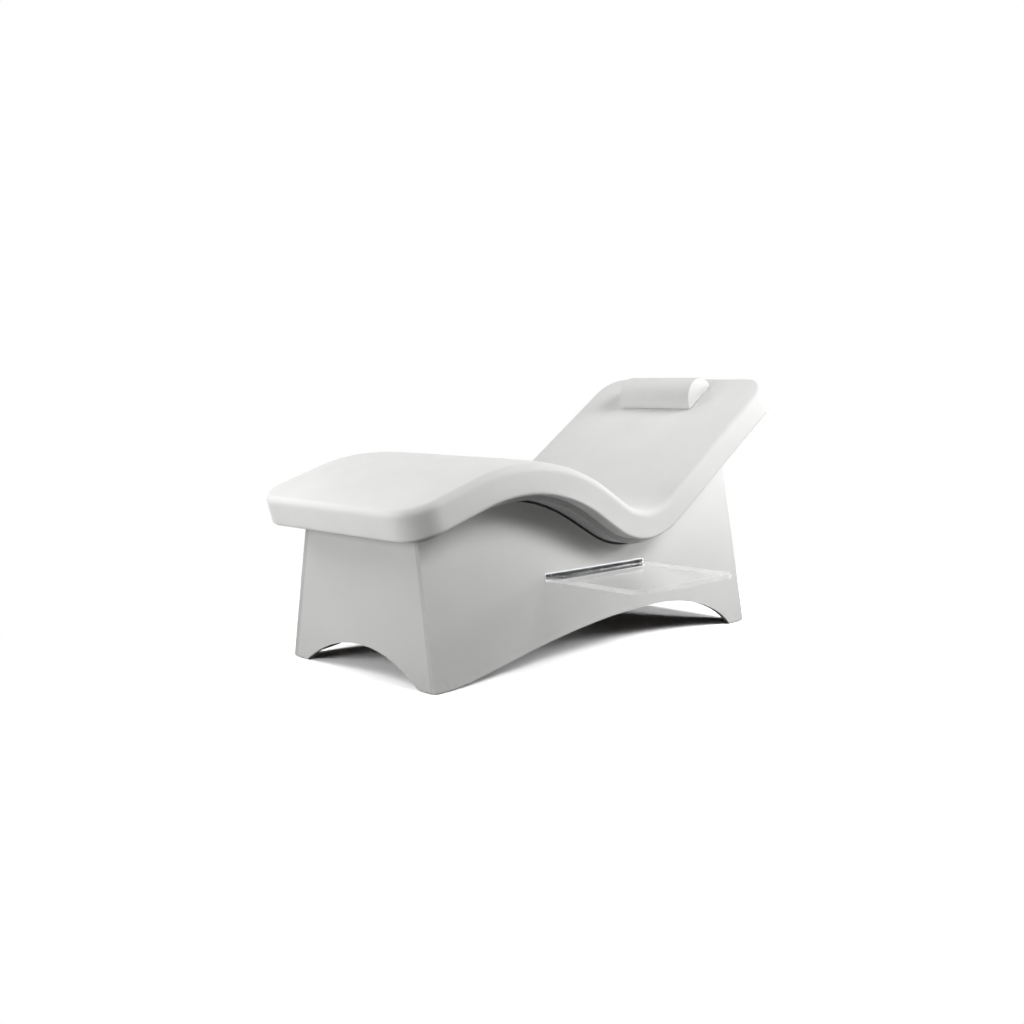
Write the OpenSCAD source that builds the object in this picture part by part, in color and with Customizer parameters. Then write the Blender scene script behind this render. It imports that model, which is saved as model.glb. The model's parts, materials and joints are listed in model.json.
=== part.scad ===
// Spa relaxation lounger: a wave-shaped upholstered mattress on a bent plywood deck, carried by a
// splayed base of lacquered boards with arched feet, with a slide-out clear side tray and a half-round
// head bolster. Millimetres; +X runs from the foot to the head, +Z up, and the tray comes out towards -Y.

/* [Base] */
// Length of the base along the floor
base_l = 1590; // [1500:10:1700]
// Width of the base at the floor
base_w = 725; // [690:5:780]
// Thickness of the lacquered boards
board_t = 18; // [15:1:22]
// Inward lean of the two side panels, in degrees
side_lean = 9.5; // [6:0.5:11]
// Lean of the foot end panel towards the head, in degrees
foot_lean = 0.5; // [0:0.5:3]
// Lean of the head end panel towards the foot, in degrees
head_lean = 1.5; // [0:0.5:3]

/* [Arches] */
// Length of a side panel's foot at the foot end
side_foot_l = 40; // [30:1:70]
// Length of a side panel's foot at the head end
side_head_foot_l = 93; // [70:1:120]
// Distance of a side arch's highest point from the foot end
side_arch_x = 1077; // [950:1:1150]
// Height of a side arch above the panel's lower edge
side_arch_h = 130; // [90:1:150]
// Reach of the flat start of the side arch, beside the foot
side_arch_ramp = 160; // [80:5:200]
// Reach of the side arch's long flat sweep before its highest point
side_arch_sweep = 475; // [300:5:500]
// Reach of the side arch's short sweep after its highest point
side_arch_turn = 236; // [120:2:260]
// Rise of the steep end of the side arch, beside the head foot
side_arch_steep = 55; // [30:1:70]
// Width of an end panel's foot, measured from the outer face of the side panel
end_foot_w = 78; // [65:1:110]
// Height of an end arch above the panel's lower edge
end_arch_h = 94; // [70:1:120]

/* [Wave] */
// Height of the mattress's foot edge above the floor
foot_h = 555; // [520:1:600]
// Reach of the mattress past the base at the foot
foot_overhang = 129; // [90:1:150]
// Reach of the mattress's top edge past the base at the head
head_overhang = 91; // [60:1:120]
// Rise of the calf rest, in degrees
calf_rise = 18.2; // [14:0.2:22]
// Length of the straight calf rest
calf_l = 275; // [200:5:300]
// Radius of the knee crest, on the top surface
knee_r = 737; // [600:1:800]
// Fall of the thigh rest, in degrees
thigh_fall = 30.2; // [26:0.2:33]
// Length of the straight thigh rest
thigh_l = 122; // [80:1:160]
// Radius of the seat hollow, on the top surface
seat_r = 203; // [170:1:260]
// Rise of the backrest, in degrees
back_rise = 34.3; // [30:0.1:37]

/* [Mattress] */
// Width of the mattress
mattress_w = 824; // [780:2:860]
// Thickness of the mattress at its edge
mattress_t = 104; // [80:1:120]
// Radius of the mattress's rolled edges
edge_r = 26; // [15:1:30]
// Radius of the mattress's four corners, seen from above
corner_r = 112; // [80:1:140]
// Crown of the mattress along its middle
crown_h = 4; // [2:0.5:10]
// Draw of the mattress's sides between their rolled edges
side_draw = 1; // [1:0.5:6]

/* [Deck] */
// Width of the bent plywood deck
deck_w = 720; // [640:5:740]
// Thickness of the deck
deck_t = 18; // [12:1:22]
// Distance from the mattress's ends to the deck's ends, along the wave
deck_inset = 52; // [40:1:70]
// Radius of the deck's corners
deck_corner_r = 60; // [40:1:90]
// Thickness of the rubber bedding strips between the deck and the boards
strip_t = 9; // [5:1:12]

/* [Ribs] */
// Drop from the tray's underside to the ribs' lower edges
rib_drop = 87; // [60:1:110]
// Distance of the calf rib from the foot end
calf_rib_x = 110; // [95:5:125]
// Width of the battens along the boards they join
batten_w = 30; // [24:1:36]
// Thickness of the battens
batten_t = 24; // [20:1:28]
// Distance from a batten's top to the top of its board
batten_drop = 45; // [40:1:60]
// Height of the drop between a rib's edge and its batten
batten_rise = 12; // [5:1:20]

/* [Tray] */
// Distance from the tray's middle back to the lowest point of the seat
tray_ahead = 167; // [140:1:190]
// Width of the tray
tray_w = 500; // [440:2:510]
// Thickness of the tray
tray_t = 15; // [12:0.5:16]
// Drop from the boards' lowest top edge to the tray's underside
tray_drop = 80; // [65:1:100]
// Radius of the tray's outer corners
tray_r = 50; // [20:1:80]
// Length of the tray that stays inside the side panel when it is out
tray_hold = 98.5; // [60:0.5:140]
// Length of the tray that stays outside the side panel when it is in
tray_lip = 13; // [8:1:30]
// Room behind the tray when it is in
tray_room = 106; // [60:1:140]
// Clearance between the tray's edges and the slot's lining
slot_side_gap = 1.5; // [1:0.5:4]
// Height of the slot's clear opening
slot_h = 25; // [21:0.5:28]
// Corner radius of the slot's clear opening
slot_r = 6; // [3:0.5:9]
// Wall of the slot's metal lining
lining_t = 1.5; // [1:0.5:2]
// Width of the lining's rim round the slot
rim_w = 3; // [2.5:0.5:6]
// Thickness of the lining's rim
rim_t = 1.2; // [0.8:0.2:2]

/* [Runners] */
// Running clearance between the tray and its runners
run_gap = 0.4; // [0.3:0.1:1]
// Thickness of a runner's web, which is screwed to its rib
web_t = 6; // [5:0.5:8]
// Thickness of a runner's rail and cap
lip_t = 3.5; // [3:0.5:5]
// Depth of the tray's edge inside a runner
grip = 12; // [8:1:16]
// Distance from the side panel to the front of a runner
runner_front = 8; // [4:1:12]
// Width of the stop bar on the tray
stop_w = 20; // [14:1:24]
// Height of the stop bar
stop_h = 9; // [7:0.5:12]
// Length of a rubber stop at a runner's rear end
bumper_l = 14; // [8:1:18]
// Reach of a runner past its rubber stop
runner_tail = 5; // [2:1:8]

/* [Bolster] */
// Radius of the half-round bolster
bolster_r = 78; // [60:1:90]
// Length of the bolster
bolster_l = 344; // [280:2:400]
// Distance of the bolster's middle from the head edge, along the backrest
bolster_down = 159; // [140:1:220]
// Draw of the bolster's ends
bolster_draw = 2; // [0.5:0.5:4]
// Radius of the bolster's rolled edges
bolster_edge_r = 8; // [4:1:10]
// Thickness of the bolster's non-slip backing
backing_t = 1.5; // [1:0.5:3]
// Distance from the backing's edge to the bolster's edge
backing_inset = 12; // [8:1:20]

/* [Glides] */
// Height of the glides under the feet
glide_h = 4; // [3:0.5:8]
// Diameter of the glides
glide_d = 40; // [30:1:44]
// Chamfer of a glide's lower edge
glide_chamfer = 1; // [0.5:0.5:1.5]

/* [Fasteners] */
// Diameter of the wood screws
screw_d = 4; // [3:0.5:5]
// Diameter of a screw's head
head_d = 8; // [7:0.5:9]
// Height of a screw's head
head_h = 2.5; // [2:0.5:3]
// Depth of a screw in the board behind the piece that it holds
bite = 12; // [8:1:13]
// Clearance round a screw in its hole
hole_gap = 0.1; // [0.05:0.05:0.3]
// Leg of a steel angle bracket
bracket_l = 34; // [30:1:40]
// Width of a bracket
bracket_w = 40; // [30:1:50]
// Thickness of a bracket
bracket_t = 3; // [2:0.5:4]
// Distance of a bracket from the middle of its rib
bracket_y = 150; // [100:5:180]
// Diameter of the deck bolts
bolt_d = 6; // [5:1:8]
// Diameter of a deck bolt's head
bolt_head_d = 12; // [11:1:14]
// Height of a deck bolt's head
bolt_head_h = 4; // [3:0.5:5]
// Outer diameter of a tee nut's barrel
nut_d = 9; // [9:0.5:11]
// Diameter of a tee nut's flange
nut_flange_d = 20; // [16:1:24]
// Thickness of a tee nut's flange
nut_flange_t = 1.5; // [1:0.5:2]

/* [Hidden] */

$fn = 48;
// Gap that keeps a soft piece clear of its neighbour
soft_gap = 0.3;
// Gap between the bedding strips and the deck that they carry
bed_gap = 0.1;
// Overrun of every cut past the face it leaves
cut = 1;
lacquer = "#f2f2f0";
inner_wood = "#d9c39a";
leatherette = "#f4f4f2";
steel = "#b9bcc0";
rubber = "#2b2b2d";
runner_white = "#e4e4e2";

// Sides and ends, and the height of the boards' lower edges
near = -1;
far = 1;
sides = [near, far];
z0 = glide_h;
half_w = base_w / 2;

// Directions along the three straight rests, and the direction square to a slope
calf_dir = [cos(calf_rise), sin(calf_rise)];
thigh_dir = [cos(thigh_fall), -sin(thigh_fall)];
back_dir = [cos(back_rise), sin(back_rise)];
function square_to(a) = [-sin(a), cos(a)];

// The wave, on the mattress's top surface: its bends in X and Z, and distances along it
foot_edge = [-foot_overhang, foot_h];
knee_start = foot_edge + calf_l * calf_dir;
knee_centre = knee_start - knee_r * square_to(calf_rise);
knee_end = knee_centre + knee_r * square_to(-thigh_fall);
seat_start = knee_end + thigh_l * thigh_dir;
seat_centre = seat_start + seat_r * square_to(-thigh_fall);
back_start = seat_centre - seat_r * square_to(back_rise);
back_l = (base_l + head_overhang - back_start[0]) / cos(back_rise);
knee_arc = knee_r * (calf_rise + thigh_fall) * PI / 180;
seat_arc = seat_r * (thigh_fall + back_rise) * PI / 180;
s_knee = calf_l;
s_thigh = s_knee + knee_arc;
s_seat = s_thigh + thigh_l;
s_back = s_seat + seat_arc;
wave_l = s_back + back_l;

// Slope of the wave at distance s from its foot edge, in degrees
function slope(s) =
    s <= s_knee ? calf_rise
    : s <= s_thigh ? calf_rise - (s - s_knee) / knee_r * 180 / PI
    : s <= s_seat ? -thigh_fall
    : s <= s_back ? (s - s_seat) / seat_r * 180 / PI - thigh_fall
    : back_rise;

// Place of the wave at distance s
function place(s) =
    s <= s_knee ? foot_edge + s * calf_dir
    : s <= s_thigh ? knee_centre + knee_r * square_to(slope(s))
    : s <= s_seat ? knee_end + (s - s_thigh) * thigh_dir
    : s <= s_back ? seat_centre - seat_r * square_to(slope(s))
    : back_start + (s - s_back) * back_dir;

// Point at a depth below the wave, square to it
function below(s, depth) = place(s) - depth * square_to(slope(s));

// Stations of the bends, shared by every piece that follows the wave
knee_steps = 9;
seat_steps = 12;
bend_stations = concat(
    [for (i = [0 : knee_steps]) s_knee + knee_arc * i / knee_steps],
    [for (i = [0 : seat_steps]) s_seat + seat_arc * i / seat_steps]);

// Line at a depth below the wave, from one distance to another, and a band between two of them
function wave_line(depth, from, to) = [for (s = concat([from], bend_stations, [to])) below(s, depth)];
function backwards(list) = [for (i = [len(list) - 1 : -1 : 0]) list[i]];
function wave_band(top, bottom, from, to) =
    concat(wave_line(top, from, to), backwards(wave_line(bottom, from, to)));

// Depths of the layers under the mattress
deck_top = mattress_t + soft_gap;
deck_bottom = deck_top + deck_t;
board_top = deck_bottom + strip_t;

// Height of the boards' top edges at a distance from the foot end, and of their lowest point
board_line = wave_line(board_top, 0, wave_l);
function board_z(x) = lookup(x, board_line);
seat_board_z = seat_centre[1] - seat_r - board_top;

// Half the width between the side panels at height z, with further layers taken off
function inner_half(z, layer = 0) =
    half_w - (board_t + layer) / cos(side_lean) - (z - z0) * tan(side_lean);
function foot_face(z) = (z - z0) * tan(foot_lean);
function head_face(z) = base_l - (z - z0) * tan(head_lean);

// The tray's place, and its slot on the near side panel's outer face
tray_x = seat_centre[0] - tray_ahead;
tray_z = seat_board_z - tray_drop;
tray_top = tray_z + tray_t;
slot_l = tray_w + 2 * slot_side_gap;
slot_z = tray_z + tray_t / 2;
panel_y = half_w - (slot_z - z0) * tan(side_lean);

// The tray's rear edge when it is in and when it is out, as drawn, and the tray's depth and front edge
rear_in = inner_half(slot_z) - tray_room;
rear_out = tray_hold - inner_half(slot_z);
tray_d = rear_in + panel_y + tray_lip;
tray_front = tray_d - rear_out;

// The ribs: faces towards the tray of the two beside it, the back rib midway between the batten
// behind the tray and the one at the head end, and the height of their lower edges
tray_foot_x = tray_x - tray_w / 2 - run_gap - web_t;
tray_head_x = tray_x + tray_w / 2 + run_gap + web_t;
back_rib_x = (tray_head_x + base_l) / 2 + (batten_w - board_t) / 2;
rib_z = tray_z - rib_drop;

// The origin lies on the floor under the middle of the whole lounger with its tray out
min_x = below(edge_r, edge_r)[0] - edge_r;
max_x = below(wave_l - edge_r, mattress_t - edge_r)[0] + edge_r;
module in_place()
    translate([-(min_x + max_x) / 2, (tray_front - mattress_w / 2) / 2, 0])
        children();

// Mirrors a near piece to the far side
module on_side(side)
    mirror([0, side == far ? 1 : 0, 0])
        children();

// Profile in X and Z, extruded across the lounger about its middle
module across(w)
    rotate([90, 0, 0])
        linear_extrude(w, center = true)
            children();

// A size beyond every piece
beyond = foot_h + wave_l;

// Region below the boards' top edges
module under_deck()
    across(2 * base_w)
        polygon(concat(board_line, [[base_l + foot_overhang, -cut], [-foot_overhang, -cut]]));

// Layer parallel to the near side panel's outer face
module side_layer(from, thick)
    translate([0, -half_w, z0])
        rotate([-side_lean, 0, 0])
            translate([-cut, from, -beyond])
                cube([base_l + 2 * cut, thick, 2 * beyond]);

// Space between the side panels
module between_sides()
    translate([-cut, 0, 0])
        rotate([90, 0, 90])
            linear_extrude(base_l + 2 * cut)
                polygon([[-inner_half(z0), z0], [inner_half(z0), z0],
                    [inner_half(beyond / 2), beyond / 2], [-inner_half(beyond / 2), beyond / 2]]);

// Curve from a to d with two handles
function curve(a, b, c, d, steps) = [for (i = [0 : steps])
    let (t = i / steps, u = 1 - t)
    u * u * u * a + 3 * u * u * t * b + 3 * u * t * t * c + t * t * t * d];

// Side arch: a long flat sweep up to its highest point and a short turn down to the head foot
curve_steps = 16;
side_arch_end = base_l - side_head_foot_l;
side_arch = concat(
    curve([side_foot_l, z0], [side_foot_l + side_arch_ramp, z0],
        [side_arch_x - side_arch_sweep, z0 + side_arch_h], [side_arch_x, z0 + side_arch_h], curve_steps),
    curve([side_arch_x, z0 + side_arch_h], [side_arch_x + side_arch_turn, z0 + side_arch_h],
        [side_arch_end - side_arch_steep * 2 / 3, z0 + side_arch_steep], [side_arch_end, z0], curve_steps));

// Outline between the leaning ends, and the same with its arch
module end_to_end()
    polygon([[0, z0], [base_l, z0], [head_face(beyond), beyond], [foot_face(beyond), beyond]]);
module side_outline()
    difference() {
        end_to_end();
        polygon(concat([[side_foot_l, z0 - cut]], side_arch, [[side_arch_end, z0 - cut]]));
    }

// Rectangle with round corners, about its middle
module round_rect(l, w, r) {
    square([l - 2 * r, w], center = true);
    square([l, w - 2 * r], center = true);
    for (x = [-1, 1], y = [-1, 1])
        translate([x * (l / 2 - r), y * (w / 2 - r)])
            circle(r);
}

// Places a piece at the slot, on the near panel's outer face: +Z out of the panel. The slot is cut
// square to the leaning panel, so it lies half the tray's climb through the board higher.
module at_slot()
    translate([tray_x, -panel_y, slot_z])
        rotate([90 - side_lean, 0, 0])
            translate([0, board_t * tan(side_lean) / 2, 0])
                children();

// Screw with its head's top at zero, and the hole that it fits
module screw(l) {
    cylinder(h = l, d = screw_d);
    cylinder(h = head_h, d = head_d);
}
module screw_hole(l) {
    translate([0, 0, -cut])
        cylinder(h = l + cut, d = screw_d + 2 * hole_gap);
    translate([0, 0, -cut])
        cylinder(h = head_h + cut, d = head_d + 2 * hole_gap);
}

// Battens: face against their board, side of the board, bottom, and lean of that face in degrees
battens = [
    [board_t, 1, z0, foot_lean],
    [calf_rib_x + board_t, 1, rib_z + batten_rise, 0],
    [tray_foot_x - board_t, -1, rib_z + batten_rise, 0],
    [tray_head_x + board_t, 1, rib_z + batten_rise, 0],
    [back_rib_x, -1, rib_z + batten_rise, 0],
    [base_l - board_t, -1, z0, -head_lean]
];
at_foot = battens[0];
at_calf = battens[1];
at_tray_foot = battens[2];
at_tray_head = battens[3];
at_back = battens[4];
at_head = battens[5];
end_battens = [at_foot, at_head];
function batten_x(b, z) = b[0] + (z - z0) * tan(b[3]);
function batten_top(b) = min(board_z(b[0]), board_z(b[0] + b[1] * batten_w)) - batten_drop;

// Screws of a batten, at shares of its height: through it into the side panel and into its board
panel_screw_shares = [0.14, 0.86];
board_screw_shares = [0.3, 0.7];
function share_z(b, share) = b[2] + share * (batten_top(b) - b[2]);
panel_screw_l = batten_t + bite;
board_screw_l = batten_w + bite;

// Frames of those screws on the near side, with +Z along the screw from the batten's open face
module panel_screw_frame(b, share) {
    z = share_z(b, share);
    translate([batten_x(b, z) + b[1] * batten_w / 2, -inner_half(z, batten_t), z])
        rotate([90 - side_lean, 0, 0])
            children();
}
module board_screw_frame(b, share) {
    z = share_z(b, share);
    translate([batten_x(b, z) + b[1] * batten_w, -inner_half(z, batten_t / 2), z])
        rotate([0, b[3] - b[1] * 90, 0])
            children();
}
module board_screw_holes(b)
    for (side = sides, share = board_screw_shares)
        on_side(side)
            board_screw_frame(b, share)
                screw_hole(board_screw_l);

// Side panels
module side_panel()
    color(lacquer)
        difference() {
            intersection() {
                side_layer(0, board_t);
                across(2 * base_w)
                    side_outline();
                under_deck();
            }
            for (b = battens, share = panel_screw_shares)
                panel_screw_frame(b, share)
                    screw_hole(panel_screw_l);
        }
module side_panel_near()
    color(lacquer)
        in_place()
            difference() {
                side_panel();
                at_slot()
                    translate([0, 0, -board_t - cut])
                        linear_extrude(board_t + 2 * cut)
                            round_rect(slot_l + 2 * lining_t, slot_h + 2 * lining_t, slot_r + lining_t);
            }
module side_panel_far()
    in_place()
        on_side(far)
            side_panel();

// Boards across the base: place at the floor, lean towards the head, and bottom
module cross_outline(x, lean, bottom)
    polygon([
        [x + (bottom - z0) * tan(lean), bottom],
        [x + board_t + (bottom - z0) * tan(lean), bottom],
        [x + board_t + (beyond - z0) * tan(lean), beyond],
        [x + (beyond - z0) * tan(lean), beyond]
    ]);
module cross_board(x, lean, bottom)
    intersection() {
        across(2 * base_w)
            cross_outline(x, lean, bottom);
        between_sides();
        under_deck();
    }

// Round arch of an end panel
end_span = half_w - end_foot_w;
end_arch_r = (end_span * end_span + end_arch_h * end_arch_h) / (2 * end_arch_h);
module end_arch(x)
    translate([x, 0, z0 + end_arch_h - end_arch_r])
        rotate([0, 90, 0])
            cylinder(h = 4 * board_t, r = end_arch_r, center = true, $fn = 96);
module foot_panel()
    color(lacquer)
        in_place()
            difference() {
                cross_board(0, foot_lean, z0);
                end_arch(0);
                board_screw_holes(at_foot);
            }
module head_panel()
    color(lacquer)
        in_place()
            difference() {
                cross_board(base_l - board_t, -head_lean, z0);
                end_arch(base_l);
                board_screw_holes(at_head);
            }
module calf_rib()
    color(inner_wood)
        in_place()
            difference() {
                cross_board(calf_rib_x, 0, rib_z);
                board_screw_holes(at_calf);
                bracket_screw_places(calf_bracket)
                    screw_hole(bracket_screw_l);
            }
module back_rib()
    color(inner_wood)
        in_place()
            difference() {
                cross_board(back_rib_x, 0, rib_z);
                board_screw_holes(at_back);
                bracket_screw_places(back_bracket)
                    screw_hole(bracket_screw_l);
            }
module tray_rib_foot()
    color(inner_wood)
        in_place()
            difference() {
                cross_board(tray_foot_x - board_t, 0, rib_z);
                board_screw_holes(at_tray_foot);
                runner_screw_places(foot_runner)
                    screw_hole(runner_screw_l);
            }
module tray_rib_head()
    color(inner_wood)
        in_place()
            difference() {
                cross_board(tray_head_x, 0, rib_z);
                board_screw_holes(at_tray_head);
                runner_screw_places(head_runner)
                    screw_hole(runner_screw_l);
            }

// Glides, each under the batten of its corner and held by a screw in a recess
module glide_frame(b)
    translate([b[0] + b[1] * batten_w / 2, -inner_half(z0, batten_t / 2), 0])
        children();
module glide(b, side)
    color("gray")
        in_place()
            on_side(side)
                glide_frame(b)
                    rotate_extrude()
                        polygon([
                            [screw_d / 2 + hole_gap, head_h],
                            [head_d / 2 + hole_gap, head_h],
                            [head_d / 2 + hole_gap, 0],
                            [glide_d / 2 - glide_chamfer, 0],
                            [glide_d / 2, glide_chamfer],
                            [glide_d / 2, glide_h],
                            [screw_d / 2 + hole_gap, glide_h]
                        ]);
glide_screw_l = glide_h + bite - head_h / 3;
module glide_screws()
    color(steel)
        in_place()
            for (b = end_battens, side = sides)
                on_side(side)
                    glide_frame(b)
                        translate([0, 0, head_h / 3]) {
                            cylinder(h = glide_screw_l, d = screw_d);
                            cylinder(h = head_h * 2 / 3, d = head_d);
                        }
module glide_foot_near() glide(at_foot, near);
module glide_foot_far() glide(at_foot, far);
module glide_head_near() glide(at_head, near);
module glide_head_far() glide(at_head, far);

// Battens in the corners between the side panels and the boards across
module batten(b, side)
    color(inner_wood)
        in_place()
            on_side(side)
                difference() {
                    intersection() {
                        side_layer(board_t, batten_t);
                        across(2 * base_w)
                            polygon([
                                [batten_x(b, b[2]), b[2]],
                                [batten_x(b, b[2]) + b[1] * batten_w, b[2]],
                                [batten_x(b, batten_top(b)) + b[1] * batten_w, batten_top(b)],
                                [batten_x(b, batten_top(b)), batten_top(b)]
                            ]);
                    }
                    for (share = panel_screw_shares)
                        panel_screw_frame(b, share)
                            screw_hole(panel_screw_l);
                    for (share = board_screw_shares)
                        board_screw_frame(b, share)
                            screw_hole(board_screw_l);
                    if (b[2] == z0)
                        glide_frame(b)
                            cylinder(h = glide_h + bite, d = screw_d + 2 * hole_gap);
                }
module batten_foot_near() batten(at_foot, near);
module batten_foot_far() batten(at_foot, far);
module batten_calf_near() batten(at_calf, near);
module batten_calf_far() batten(at_calf, far);
module batten_tray_foot_near() batten(at_tray_foot, near);
module batten_tray_foot_far() batten(at_tray_foot, far);
module batten_tray_head_near() batten(at_tray_head, near);
module batten_tray_head_far() batten(at_tray_head, far);
module batten_back_near() batten(at_back, near);
module batten_back_far() batten(at_back, far);
module batten_head_near() batten(at_head, near);
module batten_head_far() batten(at_head, far);
module panel_screws()
    color(steel)
        in_place()
            for (b = battens, share = panel_screw_shares, side = sides)
                on_side(side)
                    panel_screw_frame(b, share)
                        screw(panel_screw_l);
module board_screws()
    color(steel)
        in_place()
            for (b = battens, share = board_screw_shares, side = sides)
                on_side(side)
                    board_screw_frame(b, share)
                        screw(board_screw_l);

// Deck, bent to the wave, with round corners
deck_x0 = below(deck_inset, deck_top)[0];
deck_x1 = below(wave_l - deck_inset, deck_bottom)[0];
module deck()
    color(lacquer)
        in_place()
            difference() {
                intersection() {
                    across(deck_w)
                        polygon(wave_band(deck_top, deck_bottom, deck_inset, wave_l - deck_inset));
                    translate([(deck_x0 + deck_x1) / 2, 0, 0])
                        linear_extrude(beyond)
                            round_rect(deck_x1 - deck_x0, deck_w, deck_corner_r);
                }
                for (b = brackets)
                    bolt_places(b) {
                        translate([0, 0, -cut])
                            cylinder(h = deck_t + 2 * cut, d = nut_d + 2 * hole_gap);
                        translate([0, 0, deck_t - nut_flange_t])
                            cylinder(h = nut_flange_t + cut, d = nut_flange_d + 2 * hole_gap);
                    }
            }

// Rubber bedding strips between the boards' top edges and the deck
module strip_band()
    across(2 * base_w)
        polygon(wave_band(deck_bottom + bed_gap, board_top, 0, wave_l));
module side_strip(side)
    color(rubber)
        in_place()
            on_side(side)
                intersection() {
                    side_layer(0, board_t);
                    across(2 * base_w)
                        end_to_end();
                    strip_band();
                }
module cross_strip(x, lean)
    color(rubber)
        in_place()
            intersection() {
                across(2 * base_w)
                    cross_outline(x, lean, z0);
                between_sides();
                strip_band();
            }
module strip_near() side_strip(near);
module strip_far() side_strip(far);
module strip_foot() cross_strip(0, foot_lean);
module strip_calf() cross_strip(calf_rib_x, 0);
module strip_tray_foot() cross_strip(tray_foot_x - board_t, 0);
module strip_tray_head() cross_strip(tray_head_x, 0);
module strip_back() cross_strip(back_rib_x, 0);
module strip_head() cross_strip(base_l - board_t, -head_lean);

// Angle brackets between a rib and the straight part of the deck above it: the rib's face, the side
// of it that they stand on, and a distance on that part of the wave
calf_bracket = [calf_rib_x, -1, s_knee];
back_bracket = [back_rib_x + board_t, 1, s_back];
brackets = [calf_bracket, back_bracket];
function deck_z(b, x) =
    below(b[2], deck_bottom)[1] + (x - below(b[2], deck_bottom)[0]) * tan(slope(b[2]));
function face_z(b) = deck_z(b, b[0]);
bracket_screw_l = bracket_t + bite;
bracket_bolt_share = 0.6;
bracket_screw_share = 0.7;
bracket_screw_shares = [-0.25, 0.25];

// Places of a bracket's screws, +Z into the rib from the bracket's open face, and of its deck bolt,
// +Z into the deck from its underside, both on each side of the lounger
module bracket_screw_places(b)
    for (side = sides, share = bracket_screw_shares)
        translate([b[0] + b[1] * bracket_t, side * bracket_y + share * bracket_w,
            face_z(b) - bracket_screw_share * bracket_l])
            rotate([0, -b[1] * 90, 0])
                children();
module bolt_places(b)
    for (side = sides) {
        x = b[0] + b[1] * bracket_bolt_share * bracket_l;
        translate([x, side * bracket_y, deck_z(b, x)])
            rotate([0, -slope(b[2]), 0])
                children();
    }
module bracket(b, side)
    color(steel)
        in_place()
            difference() {
                translate([0, side * bracket_y, 0])
                    across(bracket_w)
                        polygon([
                            [b[0], face_z(b)],
                            [b[0] + b[1] * bracket_l, deck_z(b, b[0] + b[1] * bracket_l)],
                            [b[0] + b[1] * bracket_l,
                                deck_z(b, b[0] + b[1] * bracket_l) - bracket_t / cos(slope(b[2]))],
                            [b[0] + b[1] * bracket_t,
                                deck_z(b, b[0] + b[1] * bracket_t) - bracket_t / cos(slope(b[2]))],
                            [b[0] + b[1] * bracket_t, face_z(b) - bracket_l],
                            [b[0], face_z(b) - bracket_l]
                        ]);
                bracket_screw_places(b)
                    screw_hole(bracket_screw_l);
                bolt_places(b)
                    translate([0, 0, -bracket_t - cut])
                        cylinder(h = bracket_t + 2 * cut, d = bolt_d + 2 * hole_gap);
            }
module bracket_calf_near() bracket(calf_bracket, near);
module bracket_calf_far() bracket(calf_bracket, far);
module bracket_back_near() bracket(back_bracket, near);
module bracket_back_far() bracket(back_bracket, far);
module bracket_screws()
    color(steel)
        in_place()
            for (b = brackets)
                bracket_screw_places(b)
                    screw(bracket_screw_l);
module deck_bolts()
    color(steel)
        in_place()
            for (b = brackets)
                bolt_places(b) {
                    translate([0, 0, -bracket_t - bolt_head_h])
                        cylinder(h = bolt_head_h, d = bolt_head_d);
                    translate([0, 0, -bracket_t])
                        cylinder(h = bracket_t + deck_t - nut_flange_t, d = bolt_d);
                }
module tee_nuts()
    color(steel)
        in_place()
            for (b = brackets)
                bolt_places(b)
                    difference() {
                        union() {
                            translate([0, 0, nut_flange_t])
                                cylinder(h = deck_t - nut_flange_t, d = nut_d);
                            translate([0, 0, deck_t - nut_flange_t])
                                cylinder(h = nut_flange_t, d = nut_flange_d);
                        }
                        translate([0, 0, -cut])
                            cylinder(h = deck_t + 2 * cut, d = bolt_d + 2 * hole_gap);
                    }

// Slot lining: a metal sleeve through the board, with a rim on its outer face
module slot_lining()
    color(steel)
        in_place()
            at_slot()
                difference() {
                    union() {
                        translate([0, 0, -board_t])
                            linear_extrude(board_t)
                                round_rect(slot_l + 2 * lining_t, slot_h + 2 * lining_t, slot_r + lining_t);
                        linear_extrude(rim_t)
                            round_rect(slot_l + 2 * rim_w, slot_h + 2 * rim_w, slot_r + rim_w);
                    }
                    translate([0, 0, -board_t - cut])
                        linear_extrude(board_t + rim_t + 2 * cut)
                            round_rect(slot_l, slot_h, slot_r);
                }

// Tray: a clear sheet with round outer corners
module tray()
    color("#dfe6e8", 0.4)
        in_place()
            difference() {
                translate([tray_x, 0, tray_z])
                    linear_extrude(tray_t) {
                        translate([-tray_w / 2, tray_r - tray_front])
                            square([tray_w, tray_d - tray_r]);
                        translate([tray_r - tray_w / 2, -tray_front])
                            square([tray_w - 2 * tray_r, 2 * tray_r]);
                        for (x = [-1, 1])
                            translate([x * (tray_w / 2 - tray_r), tray_r - tray_front])
                                circle(tray_r);
                    }
                stop_screw_places()
                    screw_hole(stop_screw_l);
            }

// Stop bar on the tray, which meets the near panel when the tray is out
stop_y = run_gap - inner_half(tray_top + stop_h);
stop_l = tray_w - 2 * (grip + 2 * run_gap);
stop_screw_l = stop_h + tray_t * 2 / 3;
stop_screw_shares = [-0.4, 0, 0.4];
module stop_screw_places()
    for (share = stop_screw_shares)
        translate([tray_x + share * stop_l, stop_y + stop_w / 2, tray_top + stop_h])
            mirror([0, 0, 1])
                children();
module tray_stop_bar()
    color(steel)
        in_place()
            difference() {
                translate([tray_x - stop_l / 2, stop_y, tray_top])
                    cube([stop_l, stop_w, stop_h]);
                stop_screw_places()
                    screw_hole(stop_screw_l);
            }
module stop_bar_screws()
    color(steel)
        in_place()
            stop_screw_places()
                screw(stop_screw_l);

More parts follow.
